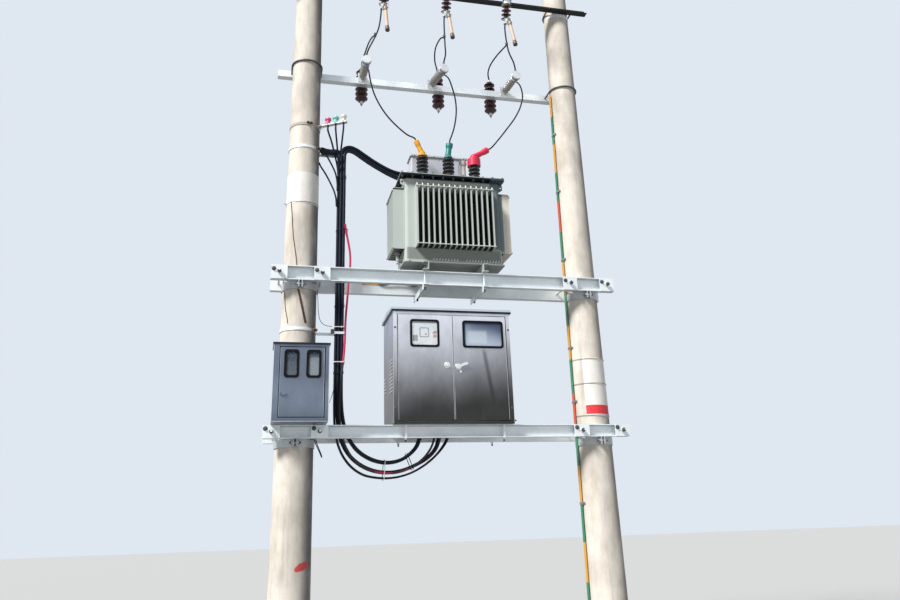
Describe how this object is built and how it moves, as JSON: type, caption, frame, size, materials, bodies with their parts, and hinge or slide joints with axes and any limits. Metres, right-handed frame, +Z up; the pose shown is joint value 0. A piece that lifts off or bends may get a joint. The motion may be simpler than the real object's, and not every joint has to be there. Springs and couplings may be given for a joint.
{
  "type": "pole mounted transformer",
  "caption": "Two-pole platform station: an oil-filled transformer over a stainless low-voltage cabinet, with drop-out fuses, surge arresters, cables and a meter box.",
  "frame": {"origin": "on the ground, on the axis of the left pole", "axes": "+X from the left pole to the right pole, -Y towards the side of the cabinet doors, +Z up"},
  "size_m": [3.03, 0.7802, 10],
  "materials": {
    "concrete": "weathered",
    "zinc": "galvanized",
    "dark_zinc": "galvanized",
    "enamel": "satin",
    "stainless": "brushed",
    "pane": "clear",
    "instrument": "satin",
    "shed_black": "matt",
    "shed_red": "matt",
    "porcelain": "glazed",
    "boot_yellow": "satin",
    "boot_green": "satin",
    "boot_red": "satin",
    "cable": "satin",
    "lv_box": "satin",
    "fuse_tube": "satin",
    "earth_paint": "striped",
    "handle": "polished"
  },
  "bodies": {
    "station": {"left_pole": "concrete", "right_pole": "concrete", "transformer_beams": "zinc", "cabinet_beams": "zinc", "beam_clamps": "zinc", "beam_hoops": "zinc", "transformer_feet": "enamel", "transformer_hold_downs": "zinc", "transformer_tank": "enamel", "transformer_cover": "enamel", "cooling_fins": "enamel", "hv_bushings": "shed_black", "yellow_boot": "boot_yellow", "green_boot": "boot_green", "red_boot": "boot_red", "lv_terminal_box": "lv_box", "cover_fittings": "enamel", "cabinet_body": "stainless", "cabinet_frame": "stainless", "cabinet_louvres": "stainless", "cabinet_roof": "stainless", "cabinet_mounting_plate": "zinc", "cabinet_instruments": "instrument", "cabinet_hold_downs": "zinc", "meter_box_body": "stainless", "meter_box_frame": "stainless", "meter_box_meters": "instrument", "arrester_crossarm": "zinc", "arresters": "shed_red", "post_insulators": "porcelain", "fuse_crossarm": "dark_zinc", "crossarm_u_bolts": "zinc", "fuse_bases": "shed_red", "line_crossarm": "zinc", "line_insulators": "porcelain", "lv_bracket": "zinc", "lv_insulators": "porcelain", "cable_brackets": "zinc", "earth_strip": "earth_paint", "cable_glands": "cable", "hv_leads": "cable", "supply_cables": "cable", "feeder_cables": "cable"},
    "left_leaf": {"cabinet_door_left": "stainless", "cabinet_pane_left": "pane"},
    "right_leaf": {"cabinet_door_right": "stainless", "cabinet_pane_right": "pane"},
    "lever": {"cabinet_handle": "handle"},
    "meter_leaf": {"meter_box_door": "stainless", "meter_box_panes": "pane"},
    "left_fuse": {"fuse_tube_left": "fuse_tube"},
    "middle_fuse": {"fuse_tube_middle": "fuse_tube"},
    "right_fuse": {"fuse_tube_right": "fuse_tube"}
  },
  "joints": [
    {"name": "left_leaf_hinge", "type": "hinge", "parent": "station", "child": "left_leaf", "pos_m": [0.7885, -0.244, 2.56], "axis": [0, 0, -1], "range_deg": [0, 110]},
    {"name": "right_leaf_hinge", "type": "hinge", "parent": "station", "child": "right_leaf", "pos_m": [1.6815, -0.244, 2.56], "axis": [0, 0, 1], "range_deg": [0, 110]},
    {"name": "lever_turn", "type": "hinge", "parent": "right_leaf", "child": "lever", "pos_m": [1.275, -0.25, 2.575], "axis": [0, 1, 0], "range_deg": [0, 90]},
    {"name": "meter_leaf_hinge", "type": "hinge", "parent": "station", "child": "meter_leaf", "pos_m": [0.1855, -0.3954, 2.4], "axis": [0, 0, 1], "range_deg": [0, 110]},
    {"name": "left_fuse_hinge", "type": "hinge", "parent": "station", "child": "left_fuse", "pos_m": [0.685, -0.285, 5.95], "axis": [-1, 0, 0], "range_deg": [0, 140]},
    {"name": "middle_fuse_hinge", "type": "hinge", "parent": "station", "child": "middle_fuse", "pos_m": [1.29, -0.285, 5.95], "axis": [-1, 0, 0], "range_deg": [0, 140]},
    {"name": "right_fuse_hinge", "type": "hinge", "parent": "station", "child": "right_fuse", "pos_m": [1.895, -0.285, 5.95], "axis": [-1, 0, 0], "range_deg": [0, 140]}
  ]
}
